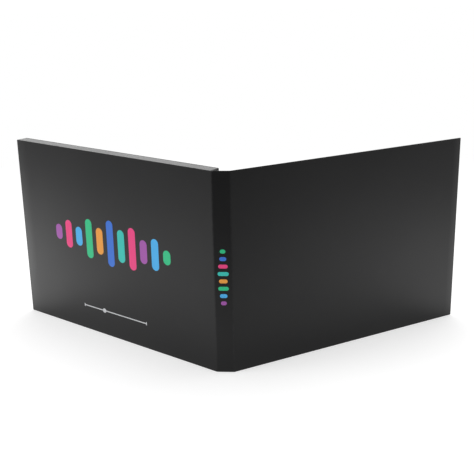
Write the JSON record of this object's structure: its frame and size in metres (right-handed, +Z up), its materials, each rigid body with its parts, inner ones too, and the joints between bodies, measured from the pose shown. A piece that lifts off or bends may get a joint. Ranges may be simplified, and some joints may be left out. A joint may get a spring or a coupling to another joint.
{
  "type": "video brochure",
  "caption": "Landscape card brochure that stands open: a thick case with a screen, speaker and push buttons, a creased spine and a thin front cover with a magnet.",
  "frame": {"origin": "bottom centre of the bounding box as the brochure stands open in a V", "axes": "+Z up along the fold lines, +X along the spine's width, from the thick case to the thin front cover, +Y from the spine into the opening"},
  "size_m": [0.3628, 0.1246, 0.152],
  "materials": {
    "outer_card": "satin",
    "page_card": "satin",
    "grey_board": "matte",
    "foam": "matte",
    "sheet_steel": "satin",
    "screen_glass": "gloss",
    "light_guide_acrylic": "gloss",
    "black_tape": "matte",
    "polyimide_flex": "satin",
    "circuit_board": "satin",
    "chip_plastic": "matte",
    "capacitor_ceramic": "matte",
    "reed_glass": "gloss",
    "white_nylon": "satin",
    "lamp_plastic": "gloss",
    "battery_pouch": "satin",
    "lead_insulation": "satin",
    "paper_cone": "matte",
    "magnet_nickel": "satin",
    "button_plastic": "satin"
  },
  "bodies": {
    "case": {"back_panel": "outer_card", "tray_walls": "page_card", "inner_page": "page_card", "mounting_card": "grey_board", "foam_spacer": "foam", "lcd_bezel": "sheet_steel", "lcd_glass": "screen_glass", "light_guide": "light_guide_acrylic", "lcd_back_plate": "sheet_steel", "lcd_tape": "black_tape", "lcd_flex": "polyimide_flex", "main_board": "circuit_board", "processor_chip": "chip_plastic", "memory_chip": "chip_plastic", "power_coil": "chip_plastic", "board_capacitors": "capacitor_ceramic", "reed_switch": "reed_glass", "flex_socket": "white_nylon", "usb_socket": "sheet_steel", "battery_connector": "white_nylon", "speaker_connector": "white_nylon", "key_board": "circuit_board", "tact_switches": "chip_plastic", "key_ribbon": "white_nylon", "status_led": "lamp_plastic", "led_pipe": "lamp_plastic", "board_pads": "foam", "battery_cell": "battery_pouch", "battery_protector": "circuit_board", "battery_pad": "black_tape", "battery_leads": "lead_insulation", "speaker_frame": "sheet_steel", "speaker_cone": "paper_cone", "speaker_magnet": "magnet_nickel", "speaker_gasket": "foam", "speaker_leads": "lead_insulation"},
    "spine": {"rear_crease": "outer_card", "spine_panel": "outer_card", "spine_liner": "page_card", "front_crease": "outer_card"},
    "front_cover": {"front_panel": "outer_card", "front_liner": "page_card", "cover_magnet": "magnet_nickel"},
    "volume_down": {"volume_down_button": "button_plastic"},
    "previous": {"previous_button": "button_plastic"},
    "play": {"play_button": "button_plastic"},
    "next": {"next_button": "button_plastic"},
    "volume_up": {"volume_up_button": "button_plastic"}
  },
  "joints": [
    {"name": "rear_fold", "type": "hinge", "parent": "case", "child": "spine", "pos_m": [-0.0065, -0.06227, 0], "axis": [0, 0, 1], "range_deg": [-33.6, 56.4], "deforming": ["rear_crease"]},
    {"name": "front_fold", "type": "hinge", "parent": "spine", "child": "front_cover", "pos_m": [0.0065, -0.06227, 0], "axis": [0, 0, 1], "range_deg": [-33.6, 56.4], "deforming": ["front_crease"]},
    {"name": "volume_down_press", "type": "slide", "parent": "case", "child": "volume_down", "axis": [-0.5534, -0.8329, 0], "range_m": [0, 0.00035], "stiffness_N_per_m": 600},
    {"name": "previous_press", "type": "slide", "parent": "case", "child": "previous", "axis": [-0.5534, -0.8329, 0], "range_m": [0, 0.00035], "stiffness_N_per_m": 600},
    {"name": "play_press", "type": "slide", "parent": "case", "child": "play", "axis": [-0.5534, -0.8329, 0], "range_m": [0, 0.00035], "stiffness_N_per_m": 600},
    {"name": "next_press", "type": "slide", "parent": "case", "child": "next", "axis": [-0.5534, -0.8329, 0], "range_m": [0, 0.00035], "stiffness_N_per_m": 600},
    {"name": "volume_up_press", "type": "slide", "parent": "case", "child": "volume_up", "axis": [-0.5534, -0.8329, 0], "range_m": [0, 0.00035], "stiffness_N_per_m": 600}
  ]
}
